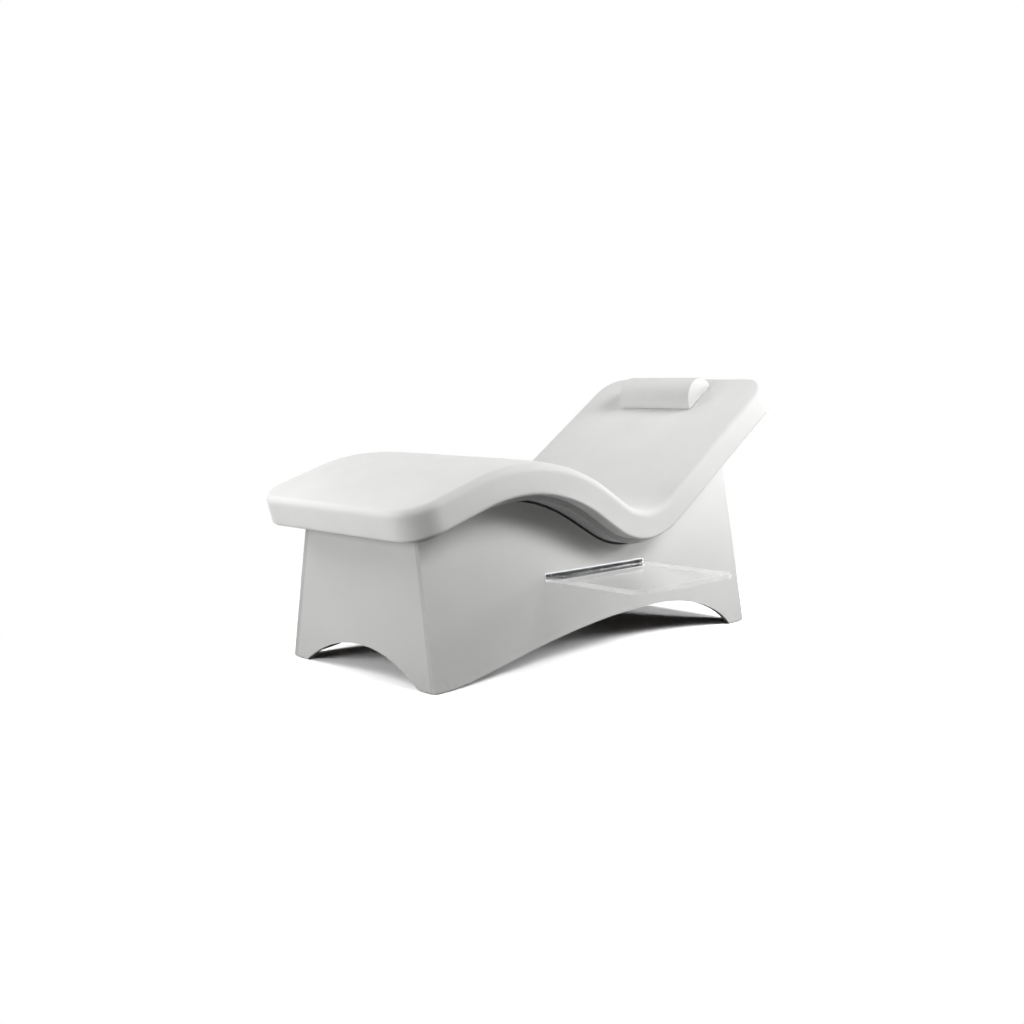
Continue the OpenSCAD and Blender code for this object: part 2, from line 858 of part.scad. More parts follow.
// Runners on the ribs hold the tray's edges: a web screwed to the rib, a rail under the tray and a cap
// over it, closed at the rear by rubber stops. A runner is given by its rib's face and the direction
// from there to the tray.
foot_runner = [tray_foot_x, 1];
head_runner = [tray_head_x, -1];
runners = [foot_runner, head_runner];
runner_y = runner_front - inner_half(tray_top + run_gap + lip_t);
rear_stop_y = rear_in + run_gap;
runner_l = rear_stop_y + bumper_l + runner_tail - runner_y;
runner_reach = web_t + run_gap + grip;
runner_screw_l = web_t + bite;
runner_screw_shares = [0.08, 0.5, 0.92];
module on_runner(r)
    translate([r[0], 0, 0])
        mirror([r[1] == 1 ? 0 : 1, 0, 0])
            children();
module runner_screw_places(r)
    on_runner(r)
        for (share = runner_screw_shares)
            translate([web_t, runner_y + share * runner_l, slot_z])
                rotate([0, -90, 0])
                    children();
module runner_bar(r, bottom, reach, height)
    on_runner(r)
        translate([0, runner_y, bottom])
            cube([reach, runner_l, height]);
module runner_web(r)
    color(runner_white)
        in_place()
            difference() {
                runner_bar(r, tray_z - run_gap, web_t, tray_t + 2 * run_gap);
                runner_screw_places(r)
                    screw_hole(runner_screw_l);
            }
module runner_rail(r)
    color(runner_white)
        in_place()
            runner_bar(r, tray_z - run_gap - lip_t, runner_reach, lip_t);
module runner_cap(r)
    color(runner_white)
        in_place()
            runner_bar(r, tray_top + run_gap, runner_reach, lip_t);
module runner_web_foot() runner_web(foot_runner);
module runner_web_head() runner_web(head_runner);
module runner_rail_foot() runner_rail(foot_runner);
module runner_rail_head() runner_rail(head_runner);
module runner_cap_foot() runner_cap(foot_runner);
module runner_cap_head() runner_cap(head_runner);
module runner_screws()
    color(steel)
        in_place()
            for (r = runners)
                runner_screw_places(r)
                    screw(runner_screw_l);
module rear_stops()
    color(rubber)
        in_place()
            for (r = runners)
                on_runner(r)
                    translate([web_t, rear_stop_y, tray_z - run_gap])
                        cube([runner_reach - web_t, bumper_l, tray_t + 2 * run_gap]);

// Mattress: a stack of round-cornered outlines bent to the wave, with rolled edges, drawn-in sides
// and a crown that runs out towards the edges
roll_steps = 3;
corner_steps = 6;
crown_shares = [1, 0.93, 0.84, 0.6, 0, -0.6, -0.84, -0.93, -1];
mattress_half = mattress_w / 2;
function corner_s(d, a) = corner_r - (corner_r - d) * cos(a);
function corner_y(d, a) = corner_r - mattress_half - (corner_r - d) * sin(a);
function half_outline(d) = concat(
    [for (i = [0 : corner_steps]) [corner_s(d, 90 * i / corner_steps), corner_y(d, 90 * i / corner_steps)]],
    [for (s = bend_stations) [s, d - mattress_half]],
    [for (i = [corner_steps : -1 : 0])
        [wave_l - corner_s(d, 90 * i / corner_steps), corner_y(d, 90 * i / corner_steps)]]);
function on_wave(s, y, depth) = [below(s, depth)[0], y, below(s, depth)[1]];
function ring(row) = let (outline = half_outline(row[0])) concat(
    [for (p = outline) on_wave(p[0], p[1], row[1])],
    [for (p = backwards(outline)) on_wave(p[0], -p[1], row[1])]);

// Rows from the underside up: inset and depth
rows = concat(
    [for (i = [0 : roll_steps]) let (a = 90 * i / roll_steps)
        [edge_r * (1 - sin(a)), mattress_t - edge_r * (1 - cos(a))]],
    [[side_draw, mattress_t / 2]],
    [for (i = [roll_steps : -1 : 0]) let (a = 90 * i / roll_steps)
        [edge_r * (1 - sin(a)), edge_r * (1 - cos(a))]]);
function ramp(d) = sin(90 * min(1, (d - edge_r) / (corner_r - edge_r)));
function crown(s, y) = crown_h * ramp(min(s, wave_l - s)) * ramp(mattress_half - abs(y));

// Counts of the mesh, and the number of a point on a rung across its top
last_rung = len(half_outline(0)) - 1;
loop_n = 2 * (last_rung + 1);
columns = len(crown_shares) - 1;
top_row = (len(rows) - 1) * loop_n;
function rung_point(i, c) =
    c == 0 ? top_row + i
    : c == columns ? top_row + loop_n - 1 - i
    : len(rows) * loop_n + (i - 1) * (columns - 1) + c - 1;
function quad(a, b, c, d) = [[a, b, c], [a, c, d]];
top_outline = half_outline(edge_r);
mattress_points = concat(
    [for (row = rows) each ring(row)],
    [for (i = [1 : last_rung - 1], c = [1 : columns - 1])
        let (s = top_outline[i][0], y = top_outline[i][1] * crown_shares[c])
        on_wave(s, y, -crown(s, y))]);
mattress_faces = concat(
    [for (k = [0 : len(rows) - 2], i = [0 : loop_n - 1])
        let (a = k * loop_n + i, b = k * loop_n + (i + 1) % loop_n)
        each quad(a, a + loop_n, b + loop_n, b)],
    [for (i = [1 : last_rung - 2], c = [0 : columns - 1])
        each quad(rung_point(i, c), rung_point(i, c + 1), rung_point(i + 1, c + 1), rung_point(i + 1, c))],
    [for (c = [0 : columns - 1])
        [rung_point(0, c < columns / 2 ? 0 : columns), rung_point(1, c + 1), rung_point(1, c)]],
    [[rung_point(0, 0), rung_point(0, columns), rung_point(1, columns / 2)]],
    [for (c = [0 : columns - 1])
        [rung_point(last_rung, c < columns / 2 ? 0 : columns),
            rung_point(last_rung - 1, c), rung_point(last_rung - 1, c + 1)]],
    [[rung_point(last_rung, columns), rung_point(last_rung, 0), rung_point(last_rung - 1, columns / 2)]],
    [for (i = [0 : last_rung - 1]) each quad(i, i + 1, loop_n - 2 - i, loop_n - 1 - i)]);
module mattress()
    color(leatherette)
        in_place()
            polyhedron(points = mattress_points, faces = mattress_faces, convexity = 6);

// Bolster on the backrest: +X up the slope, +Z square to it. Its sections are half-round with rolled
// lower edges, a little fuller in the middle, and draw in towards its rolled and domed ends.
backing_z = crown_h + soft_gap;
module at_bolster()
    translate([place(wave_l - bolster_down)[0], 0, place(wave_l - bolster_down)[1]])
        rotate([0, -back_rise, 0])
            translate([0, 0, backing_z])
                children();
bolster_half = bolster_l / 2;
arc_steps = 16;
function section(inset, lift) =
    let (r = bolster_r - inset, c = bolster_edge_r, a = asin((lift + c) / r), x = r * cos(a) - c)
    concat(
        [for (i = [0 : roll_steps - 1]) let (t = 90 * i / roll_steps)
            [x + c * sin(t), lift + c - c * cos(t)]],
        [for (i = [0 : arc_steps]) let (t = a + (180 - 2 * a) * i / arc_steps) [r * cos(t), r * sin(t)]],
        [for (i = [roll_steps - 1 : -1 : 0]) let (t = 90 * i / roll_steps)
            [-x - c * sin(t), lift + c - c * cos(t)]]);

// Stations from the near end to the far end: place, inset of the section and lift of its underside
body_shares = [-1, -0.6, -0.2, 0.2, 0.6, 1];
body_half = bolster_half - bolster_edge_r;
near_roll = [for (i = [0 : roll_steps - 1]) let (a = 90 * i / roll_steps)
    [-body_half - bolster_edge_r * cos(a), bolster_draw + bolster_edge_r * (1 - sin(a)),
        bolster_edge_r * (1 - sin(a))]];
bolster_rows = concat(
    near_roll,
    [for (share = body_shares) [share * body_half, bolster_draw * share * share, 0]],
    [for (row = backwards(near_roll)) [-row[0], row[1], row[2]]]);
section_n = len(section(0, 0));
dome_z = bolster_r * 4 / (3 * PI);
bolster_points = concat(
    [for (row = bolster_rows, p = section(row[1], row[2])) [p[0], row[0], p[1] + backing_t]],
    [for (side = sides) [0, side * (bolster_half + bolster_draw), dome_z + backing_t]]);
last_section = (len(bolster_rows) - 1) * section_n;
bolster_faces = concat(
    [for (k = [0 : len(bolster_rows) - 2], i = [0 : section_n - 1])
        let (a = k * section_n + i, b = k * section_n + (i + 1) % section_n)
        each quad(a, b, b + section_n, a + section_n)],
    [for (i = [0 : section_n - 1]) [len(bolster_points) - 2, (i + 1) % section_n, i]],
    [for (i = [0 : section_n - 1])
        [len(bolster_points) - 1, last_section + i, last_section + (i + 1) % section_n]]);
module head_bolster()
    color(leatherette)
        in_place()
            at_bolster()
                polyhedron(points = bolster_points, faces = bolster_faces, convexity = 4);
module bolster_backing()
    color("#6a6a6c")
        in_place()
            at_bolster()
                linear_extrude(backing_t)
                    round_rect(2 * (bolster_r - backing_inset), bolster_l - 2 * backing_inset, backing_inset);

side_panel_near();
side_panel_far();
foot_panel();
head_panel();
calf_rib();
tray_rib_foot();
tray_rib_head();
back_rib();
batten_foot_near();
batten_foot_far();
batten_calf_near();
batten_calf_far();
batten_tray_foot_near();
batten_tray_foot_far();
batten_tray_head_near();
batten_tray_head_far();
batten_back_near();
batten_back_far();
batten_head_near();
batten_head_far();
deck();
strip_near();
strip_far();
strip_foot();
strip_calf();
strip_tray_foot();
strip_tray_head();
strip_back();
strip_head();
bracket_calf_near();
bracket_calf_far();
bracket_back_near();
bracket_back_far();
bracket_screws();
deck_bolts();
tee_nuts();
panel_screws();
board_screws();
glide_foot_near();
glide_foot_far();
glide_head_near();
glide_head_far();
glide_screws();
slot_lining();
runner_web_foot();
runner_web_head();
runner_rail_foot();
runner_rail_head();
runner_cap_foot();
runner_cap_head();
rear_stops();
runner_screws();
tray();
tray_stop_bar();
stop_bar_screws();
mattress();
head_bolster();
bolster_backing();
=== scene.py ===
"""Looks of the spa relaxation lounger, in metres. +X points to the head and -Y to the near side."""
import json
import math

import bmesh
import bpy
import numpy as np
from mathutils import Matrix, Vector


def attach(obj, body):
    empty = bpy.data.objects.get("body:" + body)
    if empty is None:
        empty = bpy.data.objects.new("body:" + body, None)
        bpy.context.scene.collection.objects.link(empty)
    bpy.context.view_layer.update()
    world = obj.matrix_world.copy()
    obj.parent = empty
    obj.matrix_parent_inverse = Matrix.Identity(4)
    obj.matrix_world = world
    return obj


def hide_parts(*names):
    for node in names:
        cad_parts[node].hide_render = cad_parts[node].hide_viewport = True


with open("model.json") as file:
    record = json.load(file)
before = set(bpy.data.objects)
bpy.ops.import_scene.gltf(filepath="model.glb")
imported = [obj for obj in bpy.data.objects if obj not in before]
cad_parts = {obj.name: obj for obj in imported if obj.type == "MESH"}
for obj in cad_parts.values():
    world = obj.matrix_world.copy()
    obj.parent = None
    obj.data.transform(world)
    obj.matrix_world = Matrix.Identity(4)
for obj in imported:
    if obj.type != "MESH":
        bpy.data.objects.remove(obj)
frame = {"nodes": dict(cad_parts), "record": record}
NODES = frame["nodes"]
scene = bpy.context.scene
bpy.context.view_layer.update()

# Sizes shared with the solids, in metres and degrees
SHIFT = Vector((-0.803648, 0.153212, 0.0))
BASE_MID = (0.795 + SHIFT.x, SHIFT.y)
FOOT_EDGE = (-0.129, 0.555)
CALF_RISE, CALF_L = 18.2, 0.275
KNEE_R, THIGH_FALL, THIGH_L = 0.737, 30.2, 0.122
SEAT_R, BACK_RISE = 0.203, 34.3
HEAD_X = 1.681
PAD_W, PAD_T = 0.824, 0.104
EDGE_R, BASE_R, CORNER_R, CROWN = 0.026, 0.011, 0.112, 0.004
BOLSTER_R, BOLSTER_L, BOLSTER_DOWN = 0.078, 0.344, 0.159


# The wave
def direction(a):
    return np.array([math.cos(math.radians(a)), math.sin(math.radians(a))])


def square_to(a):
    return np.array([-math.sin(math.radians(a)), math.cos(math.radians(a))])


knee_start = np.array(FOOT_EDGE) + CALF_L * direction(CALF_RISE)
knee_centre = knee_start - KNEE_R * square_to(CALF_RISE)
knee_end = knee_centre + KNEE_R * square_to(-THIGH_FALL)
seat_start = knee_end + THIGH_L * direction(-THIGH_FALL)
seat_centre = seat_start + SEAT_R * square_to(-THIGH_FALL)
back_start = seat_centre - SEAT_R * square_to(BACK_RISE)
S_KNEE = CALF_L
S_THIGH = S_KNEE + KNEE_R * math.radians(CALF_RISE + THIGH_FALL)
S_SEAT = S_THIGH + THIGH_L
S_BACK = S_SEAT + SEAT_R * math.radians(THIGH_FALL + BACK_RISE)
WAVE_L = S_BACK + (HEAD_X - back_start[0]) / math.cos(math.radians(BACK_RISE))


def slope(s):
    if s <= S_KNEE:
        return CALF_RISE
    if s <= S_THIGH:
        return CALF_RISE - math.degrees((s - S_KNEE) / KNEE_R)
    if s <= S_SEAT:
        return -THIGH_FALL
    if s <= S_BACK:
        return math.degrees((s - S_SEAT) / SEAT_R) - THIGH_FALL
    return BACK_RISE


def place(s):
    if s <= S_KNEE:
        return np.array(FOOT_EDGE) + s * direction(CALF_RISE)
    if s <= S_THIGH:
        return knee_centre + KNEE_R * square_to(slope(s))
    if s <= S_SEAT:
        return knee_end + (s - S_THIGH) * direction(-THIGH_FALL)
    if s <= S_BACK:
        return seat_centre - SEAT_R * square_to(slope(s))
    return back_start + (s - S_BACK) * direction(BACK_RISE)


def on_wave(s, y, depth):
    """Point at a distance along the wave, across it, and at a depth below its surface."""
    x, z = place(s) - depth * square_to(slope(s))
    return (x + SHIFT.x, y + SHIFT.y, z)


# Mesh tools
WELD = 1e-5
# Cloth: its pressure, the frames it runs for, and how often its moves are evened out over their neighbours
PRESSURE, FRAMES, EVEN_OUT = 4.0, 20, 24


def link(obj):
    scene.collection.objects.link(obj)
    return obj


def mesh_piece(name, verts, faces, smooth=True, held=None):
    """Welded mesh with its normals outward. held marks the points that cloth doesn't move."""
    mesh = bpy.data.meshes.new(name)
    mesh.from_pydata([tuple(v) for v in verts], [], faces)
    if held is not None:
        mesh.attributes.new("held", "FLOAT", "POINT").data.foreach_set("value", held)
    bm = bmesh.new()
    bm.from_mesh(mesh)
    bmesh.ops.remove_doubles(bm, verts=bm.verts, dist=WELD)
    bmesh.ops.recalc_face_normals(bm, faces=bm.faces)
    bm.to_mesh(mesh)
    bm.free()
    if smooth:
        mesh.polygons.foreach_set("use_smooth", [True] * len(mesh.polygons))
    return link(bpy.data.objects.new(name, mesh))


def coords(mesh):
    co = np.zeros(len(mesh.vertices) * 3)
    mesh.vertices.foreach_get("co", co)
    return co.reshape(-1, 3)


def set_coords(mesh, co):
    mesh.vertices.foreach_set("co", co.reshape(-1))
    mesh.update()


def subdivide(obj):
    m = obj.modifiers.new("Subdivision", "SUBSURF")
    m.levels = m.render_levels = 1


def round_edges(obj, width, segments):
    m = obj.modifiers.new("Edges", "BEVEL")
    m.width, m.segments, m.limit_method = width, segments, "ANGLE"
    m.angle_limit = math.radians(40)
    m.harden_normals = True
    m.use_clamp_overlap = True


def held_points(obj):
    marks = np.zeros(len(obj.data.vertices))
    obj.data.attributes["held"].data.foreach_get("value", marks)
    return marks > 0.5


def evened(mesh, move, held):
    """The moves of a mesh's points, evened out."""
    edges = np.zeros(len(mesh.edges) * 2, int)
    mesh.edges.foreach_get("vertices", edges)
    a, b = edges.reshape(-1, 2).T
    for _ in range(EVEN_OUT):
        total, count = np.zeros_like(move), np.zeros(len(move))
        np.add.at(total, a, move[b])
        np.add.at(total, b, move[a])
        np.add.at(count, a, 1)
        np.add.at(count, b, 1)
        move = 0.5 * move + 0.5 * total / np.maximum(count, 1)[:, None]
        move[held] = 0
    return move


def swell(obj, cap):
    """Fills a cover with Cloth pressure, and keeps every point within cap of where it began."""
    start = coords(obj.data)
    held = held_points(obj)
    group = obj.vertex_groups.new(name="held")
    group.add([int(i) for i in np.flatnonzero(held)], 1.0, "REPLACE")
    cloth = obj.modifiers.new("Cloth", "CLOTH")
    s = cloth.settings
    s.quality, s.mass, s.air_damping = 6, 0.4, 4.0
    s.tension_stiffness = s.compression_stiffness = 40
    s.shear_stiffness, s.bending_stiffness = 20, 4
    s.use_pressure, s.uniform_pressure_force = True, PRESSURE
    s.effector_weights.gravity = 0
    s.vertex_group_mass = "held"
    cloth.point_cache.frame_start, cloth.point_cache.frame_end = 1, FRAMES
    for f in range(1, FRAMES + 1):
        scene.frame_set(f)
    shaped = obj.evaluated_get(bpy.context.evaluated_depsgraph_get()).to_mesh()
    move = coords(shaped) - start
    far = np.linalg.norm(move, axis=1)
    reach = cap * np.tanh(far / cap) / np.maximum(far, 1e-9)
    move *= reach[:, None]
    obj.modifiers.remove(cloth)
    obj.vertex_groups.remove(group)
    set_coords(obj.data, start + evened(obj.data, move, held))
    scene.frame_set(1)


# Materials
def srgb(r, g=None, b=None):
    rgb = [v / 255 for v in (r, r if g is None else g, r if b is None else b)]
    return [v / 12.92 if v <= 0.04045 else ((v + 0.055) / 1.055) ** 2.4 for v in rgb] + [1.0]


def node(tree, kind, **values):
    """New node. Each value sets the property of that name, or else the input of that name."""
    n = tree.nodes.new(kind)
    for key, value in values.items():
        if hasattr(n, key):
            setattr(n, key, value)
        else:
            n.inputs[key].default_value = value
    return n


# Sockets of a Mix node for colours
MIX_FACTOR, MIX_A, MIX_B, MIX_RESULT = 0, 6, 7, 2


class Shader:
    """A node material under construction."""

    def __init__(self, name, **values):
        self.mat = bpy.data.materials.new(name)
        self.mat.use_nodes = True
        self.tree = self.mat.node_tree
        self.out = self.tree.nodes["Material Output"]
        self.bsdf = self.tree.nodes["Principled BSDF"]
        for key, value in values.items():
            self.bsdf.inputs[key.replace("_", " ")].default_value = value
        self.where = self.add("ShaderNodeTexCoord")
        self.bump = None

    def add(self, kind, **values):
        return node(self.tree, kind, **values)

    def join(self, a, b):
        self.tree.links.new(a, b)

    def at(self, scale=(1, 1, 1), turn=(0, 0, 0)):
        """Object coordinates, scaled and turned."""
        m = self.add("ShaderNodeMapping", Scale=scale, Rotation=turn)
        self.join(self.where.outputs["Object"], m.inputs["Vector"])
        return m.outputs["Vector"]

    def split(self, output):
        """The X, Y and Z of one of the coordinate outputs."""
        n = self.add("ShaderNodeSeparateXYZ")
        self.join(self.where.outputs[output], n.inputs[0])
        return n.outputs

    def texture(self, kind, output, at, **values):
        n = self.add(kind, **values)
        self.join(at or self.where.outputs["Object"], n.inputs["Vector"])
        return n.outputs[output]

    def noise(self, scale, detail=3.0, rough=0.5, at=None, distort=0.0):
        return self.texture("ShaderNodeTexNoise", "Fac", at,
                            Scale=scale, Detail=detail, Roughness=rough, Distortion=distort)

    def cells(self, scale, at):
        return self.texture("ShaderNodeTexVoronoi", "Distance", at, feature="DISTANCE_TO_EDGE", Scale=scale)

    def waves(self, scale, at, distort, axis):
        return self.texture("ShaderNodeTexWave", "Fac", at,
                            bands_direction=axis, Scale=scale, Distortion=distort, Detail=2.0)

    def spread(self, value, low, high, a=0.0, b=1.0):
        """Maps a value from a..b to low..high."""
        n = self.add("ShaderNodeMapRange")
        self.join(value, n.inputs["Value"])
        for key, v in (("From Min", a), ("From Max", b), ("To Min", low), ("To Max", high)):
            n.inputs[key].default_value = v
        return n.outputs["Result"]

    def math(self, kind, a, b=0.0):
        n = self.add("ShaderNodeMath", operation=kind)
        for i, v in enumerate((a, b)):
            if isinstance(v, (int, float)):
                n.inputs[i].default_value = v
            else:
                self.join(v, n.inputs[i])
        return n.outputs["Value"]

    def blend(self, factor, a, b):
        """Mixes two colours, each a list or an output."""
        n = self.add("ShaderNodeMix", data_type="RGBA")
        self.join(factor, n.inputs[MIX_FACTOR])
        for i, v in ((MIX_A, a), (MIX_B, b)):
            if isinstance(v, list):
                n.inputs[i].default_value = v
            else:
                self.join(v, n.inputs[i])
        return n.outputs[MIX_RESULT]

    def mottle(self, value, low, high, a, b):
        """Blends from colour a to colour b while a value goes from low to high."""
        return self.blend(self.spread(value, 0, 1, low, high), a, b)

    def colour(self, source):
        self.join(source, self.bsdf.inputs["Base Color"])

    def roughness(self, source):
        self.join(source, self.bsdf.inputs["Roughness"])

    def relief(self, source, distance, strength=1.0):
        """Adds a layer of bump, its height in metres."""
        n = self.add("ShaderNodeBump", Strength=strength, Distance=distance)
        self.join(source, n.inputs["Height"])
        if self.bump:
            self.join(self.bump, n.inputs["Normal"])
        self.bump = n.outputs["Normal"]
        self.join(self.bump, self.bsdf.inputs["Normal"])


# Height of the scuffed strip, and the limits that tell the inner faces and the cut edges of a board
SCUFF_H = 0.07
TURNED_IN = -0.12
CUT_FACE = 0.5


def lacquer(name, axis):
    """Satin spray lacquer: the cut edges darker as painted shade, scuffed at the foot, and the face inside
    the base painted dark as shade.

    axis is the one that the board faces."""
    m = Shader(name, Specular_IOR_Level=0.5)
    cloud = m.noise(2.2, 4)
    white = m.mottle(cloud, 0.35, 0.65, srgb(206, 206, 204), srgb(212, 212, 210))
    where = m.split("Object")
    low = m.spread(where["Z"], 1, 0, 0.0, SCUFF_H)
    scuff = m.math("MULTIPLY", low, m.spread(m.noise(38, 6, 0.65), 0, 0.55, 0.5, 0.8))
    white = m.blend(scuff, white, srgb(174, 170, 165))
    facing = m.split("Normal")[axis]
    side = m.math("SUBTRACT", where[axis], BASE_MID["XY".index(axis)])
    inward = m.math("LESS_THAN", m.math("MULTIPLY", side, facing), TURNED_IN)
    cut = m.math("LESS_THAN", m.math("ABSOLUTE", facing), CUT_FACE)
    # Painted shade: the cut edges of the boards are coloured darker.
    cut_edge_shade = m.math("MULTIPLY", cut, m.spread(cloud, 0.8, 1.0, 0.35, 0.65))
    white = m.blend(cut_edge_shade, white, srgb(191, 191, 189))
    # Painted shade: the faces inside the base are coloured near black, as if in shadow.
    inner_face_shade = m.mottle(m.noise(26, 5, 0.6), 0.3, 0.7, srgb(40, 39, 38), srgb(62, 60, 58))
    m.colour(m.blend(inward, white, inner_face_shade))
    satin = m.spread(m.noise(7, 4), 0.34, 0.42, 0.3, 0.7)
    m.roughness(m.math("ADD", satin, m.math("MULTIPLY", inward, 0.35)))
    m.relief(m.noise(420, 2, 0.4), 0.00012, 0.35)
    m.relief(m.noise(9, 1), 0.0006, 0.12)
    return m.mat


def leatherette(name, tone, scale=1.0):
    """Coated upholstery cloth: pebbled grain over a soft hand, with faint handling marks."""
    m = Shader(name, Specular_IOR_Level=0.25, Sheen_Weight=0.02, Sheen_Roughness=0.4)
    dull, clean = srgb(tone - 3, tone - 3, tone - 5), srgb(tone + 3, tone + 3, tone + 2)
    base = m.mottle(m.noise(3.5 * scale, 5, 0.6), 0.35, 0.7, dull, clean)
    grain = m.cells(520 * scale, m.at((1, 1, 1), (0.3, 0.2, 0.5)))
    pores = m.spread(grain, 1, 0, 0.0, 0.22)
    # Painted shade: the grain's creases, where the bump is lowest, are coloured slightly darker.
    m.colour(m.blend(m.math("MULTIPLY", pores, 0.1), base, srgb(tone - 34, tone - 35, tone - 38)))
    hand = m.spread(m.noise(11, 5, 0.6), 0.46, 0.58, 0.3, 0.7)
    m.roughness(m.math("ADD", hand, m.math("MULTIPLY", pores, 0.08)))
    m.relief(m.spread(grain, 0, 1, 0.0, 0.3), 0.00022, 0.35)
    m.relief(m.noise(90, 3, 0.5), 0.0004, 0.12)
    m.relief(m.noise(5.5, 2, 0.4), 0.004, 0.1)
    return m.mat


def streaks(along, fine, coarse):
    """Scales of coordinates that draw a texture out along one axis."""
    return [coarse if axis == along else fine for axis in "XYZ"]


def timber(name, light, dark, along):
    """Planed wood with its grain along one axis."""
    m = Shader(name, Specular_IOR_Level=0.4)
    scale = streaks(along, 14.0, 0.9)
    grain = m.noise(7, 8, 0.62, m.at(scale), 0.6)
    fibre = m.noise(60, 4, 0.6, m.at([3.0 * v for v in scale]))
    wood = m.mottle(grain, 0.32, 0.68, srgb(*light), srgb(*dark))
    m.colour(m.blend(m.spread(fibre, 0.0, 0.35, 0.4, 0.75), wood, srgb(*[int(v * 0.72) for v in dark])))
    m.roughness(m.spread(fibre, 0.47, 0.65, 0.3, 0.7))
    m.relief(fibre, 0.0003, 0.4)
    return m.mat


def painted_board(name, tone, along):
    """Painted plywood: its grain shows faintly through the paint."""
    m = Shader(name, Specular_IOR_Level=0.45)
    grain = m.noise(8, 7, 0.6, m.at(streaks(along, 9.0, 0.6)), 0.4)
    m.colour(m.mottle(grain, 0.3, 0.7, srgb(tone), srgb(tone - 14, tone - 15, tone - 17)))
    m.roughness(m.spread(grain, 0.42, 0.56, 0.3, 0.7))
    m.relief(grain, 0.0004, 0.3)
    return m.mat


def rubber(name, tone):
    m = Shader(name, Specular_IOR_Level=0.35)
    speck = m.noise(700, 2, 0.6)
    m.colour(m.mottle(m.noise(30, 5, 0.6), 0.3, 0.7, srgb(tone), srgb(tone + 14)))
    m.roughness(m.spread(speck, 0.62, 0.86, 0.3, 0.7))
    m.relief(speck, 0.0003, 0.5)
    return m.mat


def darker(tone, step):
    return srgb(*[v - step for v in tone])


def metal(name, tone, rough, along, brushed):
    """Metal with drawing marks along one axis and slight tarnish."""
    m = Shader(name, Metallic=1.0)
    lines = m.noise(3, 4, 0.6, m.at(streaks(along, 260.0, 4.0)))
    haze = m.noise(45, 5, 0.6)
    m.colour(m.mottle(haze, 0.35, 0.7, srgb(*tone), darker(tone, 22)))
    tarnish = m.spread(haze, rough, rough + 0.1, 0.3, 0.7)
    m.roughness(m.math("ADD", tarnish, m.math("MULTIPLY", lines, brushed * 0.2)))
    m.relief(lines, 0.00008, brushed)
    return m.mat


def plastic(name, tone, rough):
    m = Shader(name, Specular_IOR_Level=0.5)
    m.colour(m.mottle(m.noise(14, 4), 0.35, 0.65, srgb(*tone), darker(tone, 9)))
    spark = m.noise(1200, 2, 0.5)
    m.roughness(m.spread(spark, rough - 0.05, rough + 0.07, 0.3, 0.7))
    m.relief(spark, 0.00012, 0.4)
    return m.mat


def mixed(m, factor, first, second):
    """One shader's output over another's, by a number or an output."""
    n = m.add("ShaderNodeMixShader")
    if isinstance(factor, float):
        n.inputs[0].default_value = factor
    else:
        m.join(factor, n.inputs[0])
    m.join(first, n.inputs[1])
    m.join(second, n.inputs[2])
    return n.outputs[0]


def acrylic(name):
    """Clear sheet seen straight through, with a faint haze, glowing edges and more gloss at low angles."""
    m = Shader(name, Specular_IOR_Level=0.5)
    wipe = m.noise(5, 4, 0.5, m.at((1, 2.5, 1)))
    m.colour(m.mottle(wipe, 0.35, 0.7, srgb(246), srgb(240, 241, 241)))
    m.roughness(m.spread(wipe, 0.3, 0.42, 0.35, 0.75))
    edge = m.spread(m.math("ABSOLUTE", m.split("Normal")["Z"]), 0.3, 0.05, 0.35, 0.9)
    haze = m.math("ADD", edge, m.spread(wipe, 0.0, 0.02, 0.4, 0.7))
    view = m.add("ShaderNodeLayerWeight", Blend=0.5)
    low = m.math("MULTIPLY", m.math("POWER", view.outputs["Facing"], 5.0), 0.26)
    clear = m.add("ShaderNodeBsdfTransparent", Color=srgb(254))
    gloss = m.add("ShaderNodeBsdfAnisotropic")
    m.join(m.spread(wipe, 0.1, 0.14, 0.35, 0.75), gloss.inputs["Roughness"])
    glow = m.add("ShaderNodeBsdfTranslucent", Color=srgb(250))
    milk = mixed(m, 0.5, m.bsdf.outputs[0], glow.outputs[0])
    sheet = mixed(m, haze, clear.outputs[0], milk)
    m.join(mixed(m, m.math("ADD", low, 0.03), sheet, gloss.outputs[0]), m.out.inputs["Surface"])
    return m.mat


def grip_mesh(name):
    """Open non-slip mesh with foamed ribs; the openings between the ribs are painted dark as shade."""
    m = Shader(name, Specular_IOR_Level=0.3)
    slanted = m.at((1, 1, 1), (0, 0, 0.785))
    ribs = m.math("MAXIMUM", m.waves(110, slanted, 0.4, "X"), m.waves(110, slanted, 0.4, "Y"))
    # Painted shade: the openings between the ribs are coloured dark.
    m.colour(m.blend(ribs, srgb(58), srgb(120)))
    m.roughness(m.spread(ribs, 0.9, 0.72))
    m.relief(ribs, 0.0008, 0.6)
    return m.mat


